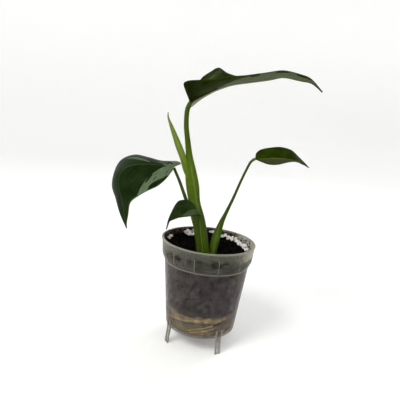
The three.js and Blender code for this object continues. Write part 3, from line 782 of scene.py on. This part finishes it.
def potProfile():  # up the outside, over the lip and down the inside
    corner, lip = pot["corner"], pot["lip"]
    innerCorner = corner * 0.7
    innerBase = pot["base"] - pot["wall"] - innerCorner
    return [
        (0, floorUnder),
        *arc(pot["base"] - corner, floorUnder + corner, corner, -90, -5),
        (pot["wallTop"], collarAt - 0.35),
        *arc(pot["wallTop"] + 0.1, collarAt, 0.18, -90, 40, 4),
        (pot["bevelRadius"] - 0.1, bevelAt - 0.2),
        (pot["bevelRadius"] + 0.03, bevelAt + 0.3),
        (pot["underLip"] - 0.05, -1.5),
        *arc(pot["rim"] - lip, -0.7, lip, -60, 0, 4),
        *arc(pot["rim"] - lip, -lip, lip, 0, 90, 4),
        *arc(pot["underLip"] - pot["wall"] + 0.3, -0.3, 0.3, 90, 180, 4),
        (insideRadius(bevelAt), bevelAt),
        (insideRadius(collarAt), collarAt - 0.3),
        *arc(innerBase, floorTop + innerCorner, innerCorner, 0, -90),
        (0, floorTop),
    ]


# A foot is a flat tongue with a raised bead down each edge. It leans out by splay towards the ground,
# and lies on the wall up to rise. tip and root are its half widths, half is half its thickness, and
# inset and beadOut place the tongue and the beads from the foot of the wall and from the tongue.
foot = {
    "tip": 1.3, "root": 1.7, "half": 0.45, "squareness": 5, "inset": 0.1, "splay": 0.85, "rise": 5,
    "bead": 0.42, "beadOut": 0.36, "steps": 24, "sides": 24, "beadSides": 12,
}


def footPlaces():  # how far out, height and half width
    taper = (pot["wallTop"] - pot["base"]) / (collarAt - floorUnder)
    out, tip, root = pot["base"] - foot["inset"], foot["tip"], foot["root"]
    return [
        (out + foot["splay"], feetHeight, tip),
        (out + foot["splay"] / 2, (feetHeight + floorUnder) / 2, (tip * 2 + root) / 3),
        (out, floorUnder, (tip + root * 2) / 3),
        (out + taper * foot["rise"], floorUnder + foot["rise"], root),
    ]


def addFoot(mesh, degrees):
    outward = onCircle(1, math.radians(degrees), 0)
    sideways = onCircle(1, math.radians(degrees + 90), 0)
    middles = [outward * out + Vector((0, 0, z)) for out, z, half in footPlaces()]
    halves = [Vector((half, 0, 0)) for out, z, half in footPlaces()]
    square = foot["squareness"]
    mesh, verts = newGrid(foot["steps"], foot["sides"], mesh)
    for vert in verts:
        t, angle = vert.co.x, 2 * math.pi * vert.co.y
        c, s = math.cos(angle), math.sin(angle)
        flat = (abs(c) ** square + abs(s) ** square) ** (-1 / square)
        across, thick = pointOn(halves, t).x * c * flat, foot["half"] * s * flat
        vert.co = pointOn(middles, t) + sideways * across + outward * thick
    bmesh.ops.remove_doubles(mesh, verts=verts, dist=1e-4)
    plain = len(mesh.faces)
    closeEnds(mesh)
    for side in (-1, 1):
        stations = []
        for middle, half in zip(middles, halves):
            place = middle + sideways * (half.x * side) + outward * foot["beadOut"]
            stations.append([*place, foot["bead"], foot["bead"]])
        addTube(mesh, stations, foot["steps"], foot["beadSides"])
    mesh.faces.ensure_lookup_table()
    for face in mesh.faces[plain:]:
        face.material_index = 1


rib = {
    "top": -4.6, "shoulder": -6.4, "depth": 0.9, "footDepth": 0.35, "sunk": 0.25, "half": 0.08,
    "steps": 9,
}


def addRib(mesh, degrees):  # a thin fin inside the collar, deepest at its shoulder
    mesh, made = newGrid(rib["steps"], 4, mesh)
    bottom = collarAt + 0.1
    for vert in made:
        z = bottom + (rib["top"] - bottom) * vert.co.x
        above = max(0, z - rib["shoulder"]) / (rib["top"] - rib["shoulder"])
        below = min(1, (z - bottom) / (rib["shoulder"] - bottom))
        depth = (rib["footDepth"] + (rib["depth"] - rib["footDepth"]) * below) * (1 - above)
        corner = round(vert.co.y * 4) % 4
        out = insideRadius(z) + (rib["sunk"] if corner in (0, 3) else -depth)
        vert.co = (out, rib["half"] * (1 if corner < 2 else -1), z)
    for face in facesOf(made):
        face.material_index = 1
    turn = Matrix.Rotation(math.radians(degrees), 4, "Z")
    bmesh.ops.transform(mesh, matrix=turn, verts=made)
    bmesh.ops.remove_doubles(mesh, verts=made, dist=1e-4)
    closeEnds(mesh)


# Milky plastic: one surface of it hides haze of what lies behind, less contact where soil touches it,
# and its folds and rims hide edge
plastic = {
    "haze": 0.2, "contact": 0.12, "edge": 0.5,
    # edges is the pale of the ring, ribs and lip: partly milky plastic seen edge on, partly a painted
    # highlight
    "body": "#5a5254", "collar": "#66655b", "edges": "#8f8d81",
}


def throughPlastic(finish, haze):  # a slanting look goes through more of the wall
    return 1 - (1 - haze) ** (1.4 / (finish.facing() + 0.04) - 0.35)


def potFinish():
    finish = Finish("clearPlastic", specularIorLevel=0.07, ior=1.49)
    place = finish.place()
    x, y, z = finish.parts(place)
    inCollar = z.rise(-7.5, -5)
    nearBase = z.fall(-46, -43)
    clouds = finish.grain(place, 0.16, 4, 0.65)
    scuffs = finish.grain(finish.vector(x * 0.8, y * 0.8, z * 0.25), 1.0, 4, 0.65)
    # Where the soil lies against the wall it shows darker
    touching = finish.grain(place, 0.3, 5, 0.66).rise(0.42, 0.6) * z.fall(-13, -11.5)
    tint = finish.grain(place, 0.13, 3, 0.6)
    specks = finish.cells(place, 0.4).fall(0.1, 0.26) * finish.grain(place, 0.12, 2, 0.5).rise(0.48, 0.6)
    blotches = finish.grain(place, 0.24, 4, 0.7).rise(0.48, 0.58) * z.fall(-5.5, -3.5) * z.rise(-12.6, -11)
    # Brown dirt clings round the inside of the rim, but not at its right end
    film = finish.grain(place, 0.45, 5, 0.75).rise(0.33, 0.6)
    dirty = x.fall(16, 22) * y.rise(-9, -2) * inCollar
    backDirt = dirty * x.fall(0, 16)
    stain = z.fall(-1.0, 0.1) * dirty * film
    dirt = finish.mix(x.rise(-4, 12), "#261806", "#755d31")
    dust = inCollar * (y + x * 0.35).rise(-14, 2)
    smear = y.rise(20, 22.5) * z.fall(-1.6, -1) * z.rise(-8, -6.5) * (0.5 + film * 0.5)
    colour = finish.layered(
        plastic["body"],
        (z.rise(-13, -12.4), plastic["collar"]),
        (tint.rise(0.5, 0.7) * 0.5, "#6a5a62"),
        (tint.fall(0.3, 0.48) * 0.5, "#62614d"),
        (clouds.rise(0.4, 0.75) * 0.4, "#8f8c82"),
        (nearBase * 0.7, "#6f6656"),
        (x.rise(14, 24) * inCollar, "#a9a598"),
        (backDirt * 0.7, dirt),
        (stain * 0.95, dirt),
        (smear, "#0e0b07"),
        (specks * z.fall(-3, -1) * 0.6, "#1f1c14"),
        (z.rise(-6.5, -3) * y.fall(-9, -2) * 0.35, "#8d8c7e"),
        (blotches * 0.65, "#26251d"),
    )
    haze = plastic["haze"] - (touching + blotches * 0.7) * plastic["contact"]
    haze += scuffs.rise(0.45, 0.8) * 0.08 + nearBase * 0.08 + specks * 0.15 + dust * 0.25
    haze += backDirt * 0.3 + stain * 0.4 + smear * 0.35
    finish.set(
        baseColor=colour,
        alpha=throughPlastic(finish, haze),
        roughness=0.32 + scuffs * 0.25,
        normal=finish.bump(scuffs + clouds, 0.05, 0.4),
    )
    return finish


def edgeFinish():  # the ring, ribs and rims, where the plastic is seen edge on
    finish = Finish("plasticEdges", specularIorLevel=0.3, ior=1.49)
    place = finish.place()
    x, y, z = finish.parts(place)
    worn = finish.grain(place, 0.4, 4, 0.65)
    dirty = (y - x * 0.5).rise(4, 15) * x.fall(5, 20) * z.rise(-2, -0.5) * worn.rise(0.3, 0.55)
    # the pale edge colour is partly a painted highlight along the ring, ribs and lip
    colour = finish.mix(worn.rise(0.35, 0.7) * 0.4, plastic["edges"], plastic["collar"])
    finish.set(
        baseColor=finish.mix(dirty * 0.9, colour, "#2b1f0c"),
        alpha=throughPlastic(finish, plastic["edge"] + worn * 0.2),
        roughness=0.28 + worn * 0.2,
    )
    return finish


def isEdge(place):  # the ring under the collar, and the lip
    out = math.hypot(place.x, place.y)
    ring = abs(place.z - collarAt) < pot["ring"] and out > pot["wallTop"] + 0.03
    return ring or place.z > -pot["lipHeight"]


def drilled(piece):  # its shape with the drain holes, one in the middle and four round it
    drill = bmesh.new()
    for k in range(5):
        angle = math.radians(pot["feet"][k % 4] + 45)
        centre = onCircle(pot["holeCircle"] if k < 4 else 0, angle, floorUnder)
        bmesh.ops.create_cone(
            drill, cap_ends=True, segments=40, radius1=pot["hole"], radius2=pot["hole"],
            depth=pot["floor"] * 4, matrix=Matrix.Translation(centre),
        )
    bmesh.ops.transform(drill, matrix=toFrame, verts=drill.verts)
    cutter = newObject("drill", newData("drill", drill))
    cut = piece.modifiers.new("holes", "BOOLEAN")
    cut.operation, cut.solver, cut.object = "DIFFERENCE", "EXACT", cutter
    bpy.context.view_layer.update()
    evaluated = piece.evaluated_get(bpy.context.evaluated_depsgraph_get())
    body = bmesh.new()
    body.from_mesh(evaluated.to_mesh())
    bpy.data.objects.remove(cutter)
    piece.modifiers.clear()
    bmesh.ops.transform(body, matrix=toFrame.inverted(), verts=body.verts)
    return body


def makePot():
    mesh = spun(potProfile(), pot["steps"])
    piece = finishPiece(mesh, "nurseryPot", [potFinish(), edgeFinish()], "pot")
    body = drilled(piece)
    for face in body.faces:
        face.material_index = int(isEdge(face.calc_center_median()))
    for degrees in pot["feet"]:
        addFoot(body, degrees)
    for k in range(pot["ribs"]):
        addRib(body, pot["firstRib"] + 360 / pot["ribs"] * k)
    bmesh.ops.transform(body, matrix=toFrame, verts=body.verts)
    body.to_mesh(piece.data)
    body.free()
    piece.data.shade_smooth()
    piece.data.set_sharp_from_angle(angle=math.radians(35))


makePot()
print("pot made")


# Soil, heaped against the back of the pot, with a low bank right at the wall
soil = {
    "surface": -5.5, "rootZone": -39.3, "core": 14.5, "gap": 0.2, "steps": 220,
    "heap": 2.2, "heapAngle": 115, "heapFrom": 0.55, "bank": 1.5, "bankAngle": 92, "bankFrom": 0.84,
    "crumbs": 900, "seed": 21,
}


def soilHeight(x, y):
    out, angle = math.hypot(x, y) / insideRadius(soil["surface"]), math.atan2(y, x)

    def towards(key):  # 1 at its own side of the pot, 0 from a quarter turn away
        return max(0, math.cos(angle - math.radians(soil[key + "Angle"])))

    def share(key):  # 0 where it begins, 1 at the wall
        return min(1, max(0, (out - soil[key + "From"]) / (1 - soil[key + "From"])))

    heap = soil["heap"] * towards("heap") * share("heap") ** 2 * (3 - 2 * share("heap"))
    bank = soil["bank"] * towards("bank") ** 3 * share("bank")
    lumps = 0.2 * (math.sin(0.9 * x + 0.4 * y) + math.sin(1.1 * y - 0.5 * x + 2))
    return soil["surface"] + heap + bank + lumps


def onSoil(out, angle, lift):
    x, y = out * math.cos(angle), out * math.sin(angle)
    return Vector((x, y, soilHeight(x, y) + lift))


def crumbly(place, size):  # a rough number from about -1 to 1
    near = noise.voronoi(place / size)[0][0]
    return (0.55 - near) * 1.3 + 0.6 * noise.noise(place * 0.8 / size + Vector((3, 7, 1)))


def soilFinish():
    finish = Finish("pottingMix", specularIorLevel=0.02)
    place = finish.place()
    fine = finish.grain(place, 1.6, 4, 0.7)
    bits = finish.cells(place, 0.75)
    fibre = finish.grain(place, 0.5, 3, 0.6, 1.5).rise(0.6, 0.72)
    colour = finish.layered(
        "#030302",
        (fine.rise(0.35, 0.75), "#0d0a07"),
        (bits.fall(0.1, 0.35) * 0.4, "#17120d"),
        (fibre * 0.3, "#33281c"),
    )
    finish.set(baseColor=colour, roughness=0.82 + fine * 0.15, normal=finish.bump(fine + bits, 0.3, 0.8))
    return finish


def anyTurn(shaker):
    return Euler([shaker.uniform(0, 6.28) for _ in range(3)]).to_matrix()


def addCrumb(mesh, place, size, shaker, flat=1.0):
    made = bmesh.ops.create_icosphere(mesh, subdivisions=1, radius=size)["verts"]
    turn = anyTurn(shaker)
    stretch = Vector((shaker.uniform(0.8, 1.5), shaker.uniform(0.7, 1.1), shaker.uniform(0.6, 1) * flat))
    for vert in made:
        rough = shaker.uniform(0.8, 1.15)
        vert.co = place + turn @ (vert.co * stretch * rough)


def soilProfile():  # up from the middle of the floor to the middle of the surface
    top, zone, gap = soil["surface"], soil["rootZone"], soil["gap"]
    corners = [  # how far out, height, and how many steps lead there
        (0, floorTop + gap, 1),
        (soil["core"], floorTop + gap, 14),
        (soil["core"], zone - 0.3, 12),
        (insideRadius(zone) - gap, zone, 6),
        (insideRadius(collarAt) - gap, collarAt, 36),
        (insideRadius(bevelAt) - gap, bevelAt, 5),
        (insideRadius(top) - gap, top - 1, 5),
        (insideRadius(top) - gap - 0.6, top, 2),
        (0, top, 56),
    ]
    profile = []
    for (x0, z0, _), (x1, z1, count) in zip(corners, corners[1:]):
        profile += [(x0 + (x1 - x0) * k / count, z0 + (z1 - z0) * k / count) for k in range(count)]
    return profile + [(0, top)]


def makeSoil():
    mesh = spun(soilProfile(), soil["steps"])
    mesh.normal_update()
    for vert in mesh.verts:
        x, y, z = vert.co
        if z > soil["surface"] - 0.01:
            rough = crumbly(Vector((x, y, 3)), 1.5) * 0.35 + crumbly(Vector((x, y, 9)), 0.6) * 0.12
            vert.co.z = soilHeight(x, y) + rough * min(1, math.hypot(x, y) / 2)
        elif z > soil["rootZone"]:
            vert.co += vert.normal * min(0.12, crumbly(vert.co, 1.4) * 0.22 - 0.15)
        else:
            vert.co += vert.normal * (crumbly(vert.co, 1.6) * 0.3)
    finishPiece(mesh, "pottingMix", [soilFinish()], "soil")


def makeCrumbs():
    shaker = random.Random(soil["seed"])
    mesh = bmesh.new()
    for _ in range(soil["crumbs"]):
        out = (insideRadius(soil["surface"]) - 1.2) * math.sqrt(shaker.random())
        angle = shaker.uniform(0, 2 * math.pi)
        size = 0.22 + 0.5 * shaker.random() ** 2.5
        addCrumb(mesh, onSoil(out, angle, size * 0.35), size, shaker)
    finishPiece(mesh, "soilCrumbs", [soilFinish()], smooth=False)


makeSoil()
makeCrumbs()
print("soil made")


# Bark dust and crumbs that cling to the inside of the rim: [from, to] in degrees, lowest, highest and
# how many
clinging = {
    "seed": 4,
    "runs": [
        [14, 66, -5.2, -0.6, 150], [66, 112, -3.6, -0.5, 60], [112, 172, -3.8, -0.5, 150],
        [-12, 14, -6.5, -1.5, 34], [172, 200, -5.2, -2.5, 24],
    ],
    "finishes": {"barkDark": "#2b2118", "barkBrown": "#5b452a", "barkTan": "#8d7650"},
}


def barkFinish(name, code):
    finish = Finish(name, specularIorLevel=0.2)
    fine = finish.grain(finish.place(), 2.2, 3, 0.7)
    dark = finish.mix(0.55, code, "#1a1410")
    finish.set(baseColor=finish.mix(fine.rise(0.35, 0.65), dark, code), roughness=0.8 + fine * 0.15)
    return finish


def makeClinging():
    shaker = random.Random(clinging["seed"])
    mesh = bmesh.new()
    for start, end, low, high, count in clinging["runs"]:
        for _ in range(count):
            angle = math.radians(shaker.uniform(start, end))
            height = low + (high - low) * shaker.random() ** 1.6
            size = 0.16 + 0.42 * shaker.random() ** 2
            pick = min(2, int(shaker.random() * 2.7))
            first = len(mesh.faces)
            addCrumb(mesh, onCircle(insideRadius(height) - size * 0.5, angle, height), size, shaker, 0.8)
            mesh.faces.ensure_lookup_table()
            for face in mesh.faces[first:]:
                face.material_index = pick
    finishes = [barkFinish(*pair) for pair in clinging["finishes"].items()]
    finishPiece(mesh, "barkCrumbs", finishes, smooth=False)


makeClinging()
print("crumbs made")


# Perlite: runs of white grains along an arc of the soil, piled up towards the wall by lift
perlite = {
    "left": {"from": 158, "to": 170, "out": [24, 25], "lift": 0.9, "grains": 9, "seed": 3},
    "back_left": {"from": 112, "to": 131, "out": [20.6, 24.8], "lift": 1.0, "grains": 44, "seed": 11},
    "back": {"from": 84, "to": 90, "out": [24, 25], "lift": 0.4, "grains": 8, "seed": 5},
    "right": {"from": 5, "to": 71, "out": [21.8, 25], "lift": 1.5, "grains": 74, "seed": 8},
}
perliteGrain = {"radius": [0.4, 1.05], "reach": 25.6}  # mm, and how far out a grain may lie


def perliteFinish():
    finish = Finish("perlite", specularIorLevel=0.25, subsurfaceWeight=0.1, subsurfaceScale=0.0008)
    place = finish.place()
    pores = finish.cells(place, 2.6)
    dust = finish.grain(place, 0.7, 3, 0.6)
    chalk = (dust.rise(0.55, 0.8) * 0.6, "#c9c2b4")
    colour = finish.layered("#f2f0eb", chalk, (pores.fall(0.05, 0.2) * 0.4, "#8f8778"))
    finish.set(baseColor=colour, roughness=0.75 + dust * 0.2, normal=finish.bump(pores, 0.15, 0.8))
    return finish


def makePerlite(side, run, finish):
    shaker = random.Random(run["seed"])
    mesh = bmesh.new()
    for k in range(run["grains"]):
        share = (k + shaker.random()) / run["grains"]
        angle = math.radians(run["from"] + (run["to"] - run["from"]) * share)
        size = shaker.uniform(*perliteGrain["radius"])
        inner, outer = run["out"]
        near = shaker.random()  # how near to the wall
        out = min(inner + (outer - inner) * near, perliteGrain["reach"] - size)
        turn = anyTurn(shaker)
        stretch = Vector((1, shaker.uniform(0.7, 1), shaker.uniform(0.55, 0.85)))
        middle = onSoil(out, angle, 0.45 * size + run["lift"] * near * shaker.random())
        for vert in bmesh.ops.create_icosphere(mesh, subdivisions=2, radius=1)["verts"]:
            rough = 1 + 0.34 * noise.noise(vert.co * 1.9 + Vector((k, 0, run["seed"])))
            vert.co = middle + turn @ (vert.co * stretch * (rough * size))
    name = "grains" + side.title().replace("_", "")
    finishPiece(mesh, name, [finish], "perlite_" + side)


grainFinish = perliteFinish()
for side, run in perlite.items():
    makePerlite(side, run, grainFinish)
print("perlite made")


# Roots: two thick ones come down from the crown and circle the bottom of the pot, with thinner ones
# against the wall and a mat of fine ones. droop is how far a thick one sinks on the side away from its
# start.
roots = {
    "upper": {
        "radius": 1.445, "startAngle": 272, "turns": 1.2, "top": -41.6, "bottom": -42.6, "droop": 1.6,
        "descent": [[-2.5, -12, -21], [-3.5, -13, -28], [-4.5, -14.5, -34.5]],
    },
    "lower": {
        "radius": 1.1475, "startAngle": 336, "turns": 2, "top": -46.2, "bottom": -50.1, "droop": 0,
        "descent": [[2.5, -12, -21], [3, -13, -28], [4, -13.6, -34.5], [6.5, -13, -41], [10.5, -11, -45.4]],
    },
}
sideRoots = [  # angles in degrees and heights, at start and end
    {"angles": [288, 186], "heights": [-40.2, -46.8], "radius": 0.85},
    {"angles": [252, 292], "heights": [-49, -44.6], "radius": 0.6},
    {"angles": [255, 296], "heights": [-50.2, -46.4], "radius": 0.55},
]
rootMat = {"strands": 60, "seed": 17, "top": -44, "bottom": -51.2, "radius": [0.22, 0.5]}


def rootFinish(name, main, shade, pale):
    finish = Finish(name, specularIorLevel=0.25, subsurfaceWeight=0.15, subsurfaceScale=0.001)
    place = finish.place()
    clouds = finish.grain(place, 0.3, 4, 0.65)
    fine = finish.grain(place, 2.0, 3, 0.6)
    colour = finish.layered(main, (clouds.rise(0.35, 0.7), pale), (fine.rise(0.55, 0.8) * 0.5, shade))
    finish.set(baseColor=colour, roughness=0.6 + fine * 0.2, normal=finish.bump(fine, 0.1, 0.7))
    return finish


def knobbly(t, angle):
    place = Vector((t * 60, math.cos(angle), math.sin(angle)))
    return 0.97 + 0.06 * noise.noise(place) + 0.03 * noise.noise(place * 3)


def makeRoot(name, root, finish):
    radius = root["radius"]
    stations = [[*point, radius * 0.9, radius * 0.9] for point in root["descent"]]
    perTurn = 12
    for k in range(int(root["turns"] * perTurn) + 1):
        turn = k / perTurn
        share = turn / root["turns"]
        angle = math.radians(root["startAngle"]) + 2 * math.pi * turn
        z = root["top"] + (root["bottom"] - root["top"]) * share
        out = insideRadius(z) - soil["gap"] - radius
        droop = root["droop"] * (0.5 - 0.5 * math.cos(2 * math.pi * turn))
        taper = radius * (1 - 1.5 * max(0, share - 0.8))
        stations.append([*onCircle(out, angle, z - droop), taper, taper])
    mesh = addTube(None, stations, len(stations) * 14, 20, knobbly)
    finishPiece(mesh, name + "Root", [finish], "root_" + name)


def makeSideRoots(finish):
    mesh = bmesh.new()
    for side in sideRoots:
        (startAngle, endAngle), (top, bottom) = side["angles"], side["heights"]
        stations = []
        for k in range(11):
            share = k / 10
            angle = math.radians(startAngle + (endAngle - startAngle) * share)
            height = top + (bottom - top) * share ** 0.85
            radius = side["radius"] * (1 - 0.35 * share)
            out = insideRadius(height) - 0.12 - radius
            stations.append([*onCircle(out, angle, height), radius, radius])
        addTube(mesh, stations, 80, 12)
    finishPiece(mesh, "sideRoots", [finish])


def makeRootMat(finish):
    shaker = random.Random(rootMat["seed"])
    mesh = bmesh.new()
    for _ in range(rootMat["strands"]):
        start = shaker.uniform(0, 2 * math.pi)
        sweep = shaker.choice((-1, 1)) * shaker.uniform(0.8, 3.2)
        z = shaker.uniform(rootMat["bottom"], rootMat["top"])
        radius = shaker.uniform(*rootMat["radius"])
        climb = shaker.uniform(-3, 3)
        depth = shaker.uniform(0.1, 1.6)
        stations = []
        for k in range(9):
            share = k / 8
            height = z + climb * share + 0.7 * math.sin(share * 7 + start * 3)
            height = min(rootMat["top"] + 1, max(rootMat["bottom"], height))
            out = insideRadius(height) - radius - 0.15 - depth * (0.5 + 0.5 * math.sin(share * 9 + z))
            size = radius * (1 - 0.5 * share)
            stations.append([*onCircle(out, start + sweep * share, height), size, size])
        addTube(mesh, stations, 36, 6)
    finishPiece(mesh, "rootMat", [finish])


thickRoot = rootFinish("thickRoot", "#8f7848", "#5f4f30", "#bda56a")
thinRoot = rootFinish("thinRoot", "#756a57", "#4d4538", "#938874")
sideRoot = rootFinish("sideRoot", "#b39f63", "#8a7448", "#cdbb83")
for rootName, root in roots.items():
    makeRoot(rootName, root, thickRoot)
makeSideRoots(sideRoot)
makeRootMat(thinRoot)
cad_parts["crown"].data.materials.clear()
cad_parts["crown"].data.materials.append(rootFinish("crown", "#6b6f2c", "#4a4a20", "#8c9148").material)
print("roots made")


# Floor, light and camera
stage = {"flat": 0.9, "cove": 0.5, "wall": 1.6, "steps": 96}  # metres


def makeStage():
    flat, cove = stage["flat"], stage["cove"]
    profile = [(0, 0), *arc(flat, cove, cove, -90, 0, 13), (flat + cove, stage["wall"])]
    mesh = spun(profile, stage["steps"])
    bmesh.ops.reverse_faces(mesh, faces=mesh.faces)  # it is seen from inside
    floor = newObject("floor", newData("floor", mesh))
    floor.data.shade_smooth()
    floor.data.materials.append(paleFloor().material)


def paleFloor():
    finish = Finish("paleFloor", roughness=0.9, specularIorLevel=0.1)
    paper = finish.grain(finish.place(), 0.6, 3, 0.6)
    height = finish.parts(finish.place())[2]
    finish.set(
        baseColor=finish.mix(paper, "#f3f3f2", "#f7f7f6"), emissionStrength=1.0,
        emissionColor=finish.mix(height.rise(-80, 500), "#585858", "#737373"),
    )
    return finish


def addLight(name, location, size, power, colour):
    light = bpy.data.lights.new(name, "AREA")
    light.shape, light.size, light.energy, light.color = "DISK", size, power, colour
    lamp = newObject(name, light)
    lamp.location = location
    lamp.rotation_euler = (Vector((0, 0, 0.08)) - Vector(location)).to_track_quat("-Z", "Y").to_euler()


def makeCamera():
    view = {"from": (0, -226.26, 67.68), "turn": (78.69, -5.873, 3.091)}  # mm from the rim, degrees
    data = bpy.data.cameras.new("camera")
    data.sensor_width, data.lens = 36, 36
    data.clip_start = 0.01
    camera = newObject("camera", data)
    camera.location = toFrame @ Vector(view["from"])
    camera.rotation_euler = [math.radians(angle) for angle in view["turn"]]
    bpy.context.scene.camera = camera


makeStage()
world = bpy.data.worlds.new("softRoom")
world.use_nodes = True
world.node_tree.nodes["Background"].inputs["Color"].default_value = paint("#f6f7f8")
world.node_tree.nodes["Background"].inputs["Strength"].default_value = 0.5
bpy.context.scene.world = world
addLight("keyLight", (-0.45, -0.5, 0.75), 0.4, 5.5, (1, 0.99, 0.96))
addLight("backLight", (0.5, 0.6, 0.7), 0.4, 2, (0.98, 0.99, 1))
bpy.context.scene.view_settings.view_transform = "Standard"
makeCamera()
print("stage set")
